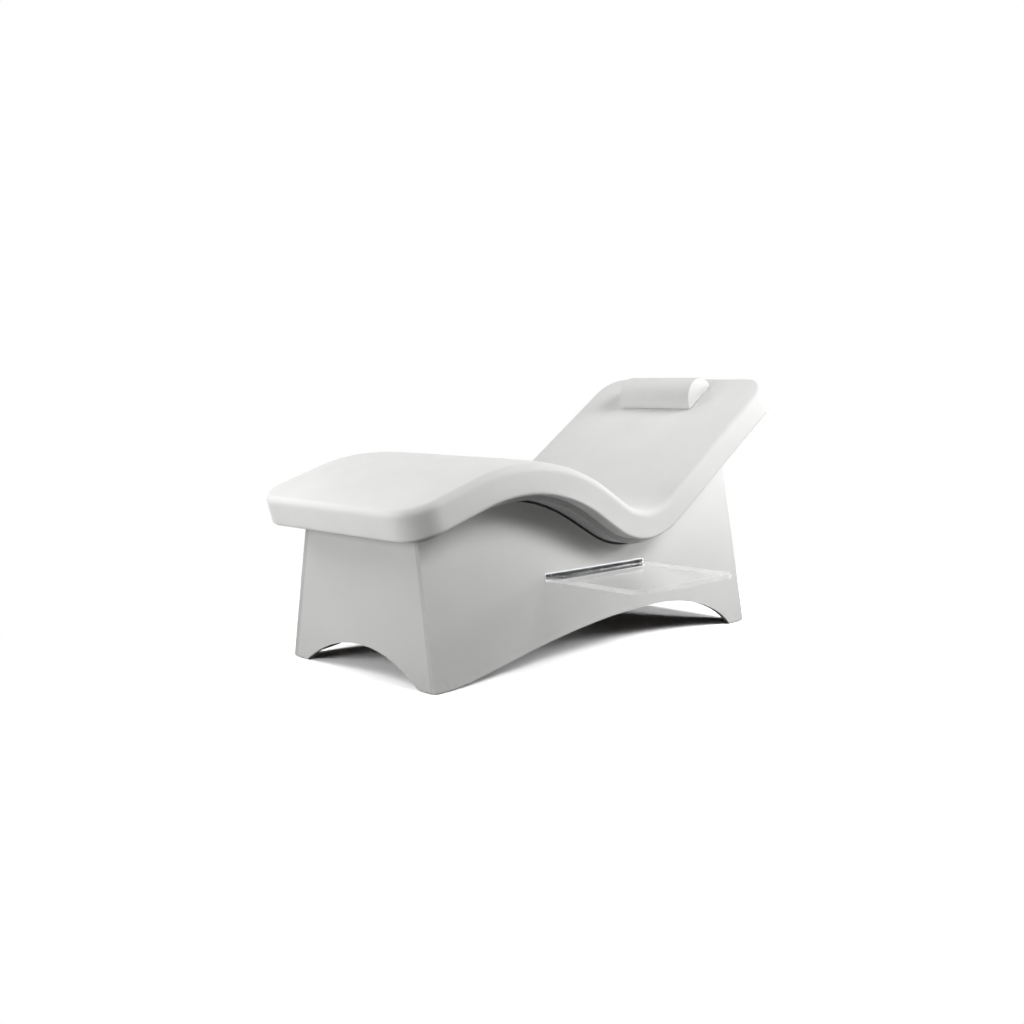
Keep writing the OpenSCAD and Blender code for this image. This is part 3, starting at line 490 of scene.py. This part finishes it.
SLOTS = {
    "lacquered_board": lacquer("satin_lacquer_side", "Y"),
    "deck_board": painted_board("painted_plywood", 205, "X"),
    # Painted shade: the inner boards are coloured dark, as if shaded inside the base.
    "inner_board": painted_board("plywood_painted_shade", 74, "Y"),
    "batten_wood": timber("planed_pine", (222, 190, 146), (186, 146, 98), "Z"),
    "bedding_rubber": rubber("bedding_rubber", 26),
    "stop_rubber": rubber("stop_rubber", 34),
    "bracket_steel": metal("plated_bracket", (196, 198, 202), 0.3, "Y", 0.5),
    "zinc_steel": metal("zinc_plate", (206, 206, 198), 0.28, "Z", 0.3),
    "glide_plastic": plastic("glide_nylon", (46, 46, 48), 0.5),
    "slot_chrome": metal("polished_chrome", (236, 237, 239), 0.12, "X", 0.06),
    "runner_plastic": plastic("runner_acetal", (232, 232, 228), 0.38),
    "clear_acrylic": acrylic("clear_acrylic"),
    "stop_bar_aluminium": metal("brushed_aluminium", (208, 210, 213), 0.26, "X", 0.6),
    "leatherette": leatherette("white_leatherette", 238),
    "bolster_leatherette": leatherette("bolster_leatherette", 236, 1.1),
    "backing_mesh": grip_mesh("grip_mesh"),
}
LACQUER_END = lacquer("satin_lacquer_end", "X")
NODE_SLOT = {entry["node"]: entry["material_slot"] for entry in frame["record"]["subparts"]}


def paint(obj, mat):
    obj.data.materials.clear()
    obj.data.materials.append(mat)


for name, piece in NODES.items():
    paint(piece, LACQUER_END if name in ("foot_panel", "head_panel") else SLOTS[NODE_SLOT[name]])

# Rounded edges of the solids: which, how wide and in how many steps
PANELS = ("side_panel_near", "side_panel_far", "foot_panel", "head_panel")
BOARDS = ("deck", "calf_rib", "back_rib", "tray_rib_foot", "tray_rib_head")
SMALL_PARTS = [name for name in NODES if "screws" not in name
               and name.startswith(("batten", "runner_rail", "runner_cap", "runner_web", "bracket_"))]
for names, width, segments in ((PANELS, 0.0014, 3), (BOARDS, 0.0012, 2), (("tray",), 0.0012, 3),
                               (("slot_lining", "tray_stop_bar"), 0.0004, 2), (SMALL_PARTS, 0.0006, 2)):
    for name in names:
        round_edges(NODES[name], width, segments)

# Mattress: steps round a corner, spacing of its points, and how far the cover begins inside the solid
CORNER_N, STEP = 10, 0.016
HALF = PAD_W / 2
SLACK = 0.002
REACH = CORNER_R + SLACK
s_line = np.linspace(REACH, WAVE_L - REACH, int((WAVE_L - 2 * REACH) / STEP) + 1)
y_line = np.linspace(REACH - HALF, HALF - REACH, int((PAD_W - 2 * REACH) / STEP) + 1)


def ramp(d):
    return math.sin(math.pi / 2 * min(1.0, max(0.0, (d - EDGE_R) / (CORNER_R - EDGE_R))))


def crown(s, y):
    return CROWN * ramp(min(s, WAVE_L - s)) * ramp(HALF - abs(y))


def outline(inset):
    """Round-cornered outline of the pad in (s, y), counterclockwise from the near side."""
    r = CORNER_R - inset
    inset += SLACK
    pts = [(s, inset - HALF) for s in s_line]
    for k, (s0, y0) in enumerate(((s_line[-1], y_line[0]), (s_line[-1], y_line[-1]),
                                  (s_line[0], y_line[-1]), (s_line[0], y_line[0]))):
        for i in range(1, CORNER_N):
            a = math.radians(90 * (k - 1) + 90 * i / CORNER_N)
            pts.append((s0 + r * math.cos(a), y0 + r * math.sin(a)))
        if k == 0:
            pts += [(WAVE_L - inset, y) for y in y_line]
        elif k == 1:
            pts += [(s, HALF - inset) for s in s_line[::-1]]
        elif k == 2:
            pts += [(inset, y) for y in y_line[::-1]]
    return pts


def roll(radius, angles, steps):
    """Inset and depth of each step round an edge, between two angles in degrees."""
    turns = np.radians(np.linspace(*angles, steps))
    return [(radius * (1 - math.sin(a)), radius * (1 - math.cos(a))) for a in turns]


# Inset and depth of the cover's rows, from the middle of its underside, round the edge, to the top.
# A depth of None follows the crown, and cloth doesn't move the first rows
HELD_ROWS = 9
rows = [(inset, PAD_T) for inset in (CORNER_R, 0.09, 0.07, 0.05, 0.034, 0.021)]
rows += [(inset, PAD_T - rise) for inset, rise in roll(BASE_R, (0, 90), 5)]
rows += [(0.0, depth) for depth in np.linspace(PAD_T - BASE_R, EDGE_R, 7)[1:-1]]
rows += roll(EDGE_R, (90, 0), 7)
rows += [(inset, None) for inset in (0.034, 0.044, 0.056, 0.07, 0.084, 0.098, CORNER_R)]
verts, faces, held = [], [], []
for k, (inset, depth) in enumerate(rows):
    for s, y in outline(inset):
        verts.append(on_wave(s, y, SLACK - crown(s, y) if depth is None else max(depth, SLACK)))
        held.append(k < HELD_ROWS)
loop = len(outline(0.0))
for r in range(len(rows) - 1):
    for i in range(loop):
        a, b = r * loop + i, r * loop + (i + 1) % loop
        faces.append((a, b, b + loop, a + loop))
for top in (False, True):
    first = len(verts)
    for s in s_line:
        for y in y_line:
            verts.append(on_wave(s, y, SLACK - crown(s, y) if top else PAD_T))
            held.append(not top)
    ny = len(y_line)
    for i in range(len(s_line) - 1):
        for j in range(ny - 1):
            p = first + i * ny + j
            q = (p, p + ny, p + ny + 1, p + 1)
            faces.append(q if top else q[::-1])
mattress = mesh_piece("mattress_cover", verts, faces, held=held)
swell(mattress, 0.002)
subdivide(mattress)
paint(mattress, SLOTS["leatherette"])
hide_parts("mattress")
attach(mattress, "base")

# Bolster, on its backing
BACKING_T, BACKING_GAP = 0.0015, 0.0003
LIFT = CROWN + BACKING_GAP + BACKING_T
FOLD, DOME = 0.003, 0.0004
mid_s = WAVE_L - BOLSTER_DOWN
up = square_to(BACK_RISE)
along = direction(BACK_RISE)


def on_back(x, y, z):
    """Point in the bolster's frame: x up the backrest, z square to it."""
    p = place(mid_s) + x * along + (z + LIFT) * up
    return (p[0] + SHIFT.x, y + SHIFT.y, p[1])


def d_section(r):
    """Half-round outline with rounded lower edges, from the lower right round the arc and back."""
    a0 = math.asin(FOLD / (r - FOLD))
    cx = (r - FOLD) * math.cos(a0)
    turns = np.linspace(0, math.pi / 2 + a0, 5)[:-1]
    pts = [(cx + FOLD * math.sin(t), FOLD - FOLD * math.cos(t)) for t in turns]
    pts += [(r * math.cos(t), r * math.sin(t)) for t in np.linspace(a0, math.pi - a0, 44)]
    pts += [(-x, z) for x, z in pts[3::-1]]
    pts += [(x, 0.0) for x in np.linspace(-cx, cx, 17)[1:-1]]
    return pts


# Rings along the bolster: place, inset of the outline, and its scale about the half round's centre
half_l = BOLSTER_L / 2
centre_z = BOLSTER_R * 4 / (3 * math.pi)
end_turns = np.radians((20, 45, 70, 90))
end_rings = [(half_l - FOLD * (1 - math.sin(t)), FOLD * (1 - math.cos(t)), 1.0) for t in end_turns]
end_rings += [(half_l + DOME, FOLD, k) for k in (0.93, 0.8, 0.62, 0.42, 0.2)]
rings = [(-y, inset, k) for y, inset, k in end_rings[::-1]]
rings += [(y, 0.0, 1.0) for y in np.linspace(FOLD - half_l, half_l - FOLD, 31)]
rings += end_rings
ring_n = len(d_section(BOLSTER_R))
verts, faces, held = [], [], []
for y, inset, k in rings:
    for x, z in d_section(BOLSTER_R - inset):
        held.append(z < FOLD / 3)
        z = max(z, inset)
        verts.append(on_back(x * k, y, centre_z + (z - centre_z) * k))
for r in range(len(rings) - 1):
    for i in range(ring_n):
        a, b = r * ring_n + i, r * ring_n + (i + 1) % ring_n
        faces.append((a, a + ring_n, b + ring_n, b))
for r, side in ((0, -1), (len(rings) - 1, 1)):
    verts.append(on_back(0.0, side * (half_l + DOME), centre_z))
    held.append(False)
    for i in range(ring_n):
        a, b = r * ring_n + i, r * ring_n + (i + 1) % ring_n
        faces.append((a, b, len(verts) - 1) if side == -1 else (b, a, len(verts) - 1))
bolster = mesh_piece("bolster_cover", verts, faces, held=held)
swell(bolster, 0.0012)
subdivide(bolster)
paint(bolster, SLOTS["bolster_leatherette"])
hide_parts("head_bolster")
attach(bolster, "bolster")

# Camera, floor, lights
cam = bpy.data.cameras.new("camera")
cam.lens, cam.sensor_width, cam.sensor_fit = 41.259, 36, "HORIZONTAL"
cam.clip_start, cam.clip_end = 0.05, 200
camera = link(bpy.data.objects.new("camera", cam))
camera.location = (-3.02835, -2.78619, 0.9144)
camera.rotation_euler = [math.radians(a) for a in (83.841, 0, -44.661)]
scene.camera = camera


def backdrop_rays(tree):
    """1 for the rays that show the backdrop: those of the camera, of gloss and through clear sheet."""
    path = node(tree, "ShaderNodeLightPath")
    first = node(tree, "ShaderNodeMath", operation="MAXIMUM")
    both = node(tree, "ShaderNodeMath", operation="MAXIMUM")
    tree.links.new(path.outputs["Is Camera Ray"], first.inputs[0])
    tree.links.new(path.outputs["Is Glossy Ray"], first.inputs[1])
    tree.links.new(first.outputs[0], both.inputs[0])
    tree.links.new(path.outputs["Is Transmission Ray"], both.inputs[1])
    return both.outputs[0]


# Brightness of the floor in the lamps' light, and the distances over which it turns into plain white
FLOOR_GAIN = 2.0
FLOOR_FADE = (0.95, 1.9)
FLOOR = 40


def pale_floor():
    """White floor that keeps the object's shadow near it and throws little light back up."""
    mat = bpy.data.materials.new("pale_floor")
    mat.use_nodes = True
    tree = mat.node_tree
    tree.nodes.remove(tree.nodes["Principled BSDF"])
    plain = node(tree, "ShaderNodeBsdfDiffuse", Color=srgb(80))
    bright = node(tree, "ShaderNodeBsdfDiffuse")
    gain = node(tree, "ShaderNodeCombineColor", Red=FLOOR_GAIN, Green=FLOOR_GAIN, Blue=FLOOR_GAIN)
    glow = node(tree, "ShaderNodeEmission", Color=(1, 1, 1, 1), Strength=1.0)
    where = node(tree, "ShaderNodeTexCoord")
    squeeze = node(tree, "ShaderNodeMapping", Scale=(0.8, 1.0, 1.0))
    length = node(tree, "ShaderNodeVectorMath", operation="LENGTH")
    fade = node(tree, "ShaderNodeMapRange", interpolation_type="SMOOTHSTEP")
    fade.inputs["From Min"].default_value, fade.inputs["From Max"].default_value = FLOOR_FADE
    near_far = node(tree, "ShaderNodeMixShader")
    seen = node(tree, "ShaderNodeMixShader")
    for start, end in (
            (gain.outputs[0], bright.inputs["Color"]), (where.outputs["Object"], squeeze.inputs[0]),
            (squeeze.outputs[0], length.inputs[0]), (length.outputs["Value"], fade.inputs["Value"]),
            (fade.outputs[0], near_far.inputs[0]), (bright.outputs[0], near_far.inputs[1]),
            (glow.outputs[0], near_far.inputs[2]), (backdrop_rays(tree), seen.inputs[0]),
            (plain.outputs[0], seen.inputs[1]), (near_far.outputs[0], seen.inputs[2]),
            (seen.outputs[0], tree.nodes["Material Output"].inputs["Surface"])):
        tree.links.new(start, end)
    return mat


floor = mesh_piece("floor", [(-FLOOR, -FLOOR, 0), (FLOOR, -FLOOR, 0), (FLOOR, FLOOR, 0), (-FLOOR, FLOOR, 0)],
                   [(0, 1, 2, 3)], False)
paint(floor, pale_floor())

world = bpy.data.worlds.new("studio")
scene.world = world
world.use_nodes = True
sky = world.node_tree.nodes["Background"]
sky.inputs["Color"].default_value = (1, 1, 1, 1)
world.node_tree.links.new(backdrop_rays(world.node_tree), sky.inputs["Strength"])

# Lamps: azimuth and elevation in degrees, distance and size in metres, watts
STUDIO_MID = Vector((0.0, 0.15, 0.45))
LAMPS = {
    "key": (326, 15, 4.6, 0.9, 76),
    "key_low": (326, 4, 3.2, 0.6, 5),
    "near_top": (290, 41, 3.6, 1.2, 72),
    "near": (268, 36, 4.0, 1.2, 10),
    "foot": (178, 6, 2.6, 0.8, 20),
    "foot_near": (200, 30, 2.6, 0.8, 3),
    "far_foot": (135, 30, 2.6, 1.2, 25),
    "far_top": (60, 60, 2.6, 1.2, 12),
}
for name, (azimuth, elevation, distance, size, power) in LAMPS.items():
    lamp = bpy.data.lights.new(name, "AREA")
    lamp.shape, lamp.size, lamp.energy = "SQUARE", size, power
    softbox = link(bpy.data.objects.new(name, lamp))
    a, e = math.radians(azimuth), math.radians(elevation)
    away = Vector((math.cos(a) * math.cos(e), math.sin(a) * math.cos(e), math.sin(e)))
    softbox.location = STUDIO_MID + distance * away
    softbox.rotation_euler = away.to_track_quat("Z", "Y").to_euler()

scene.view_settings.view_transform = "Standard"
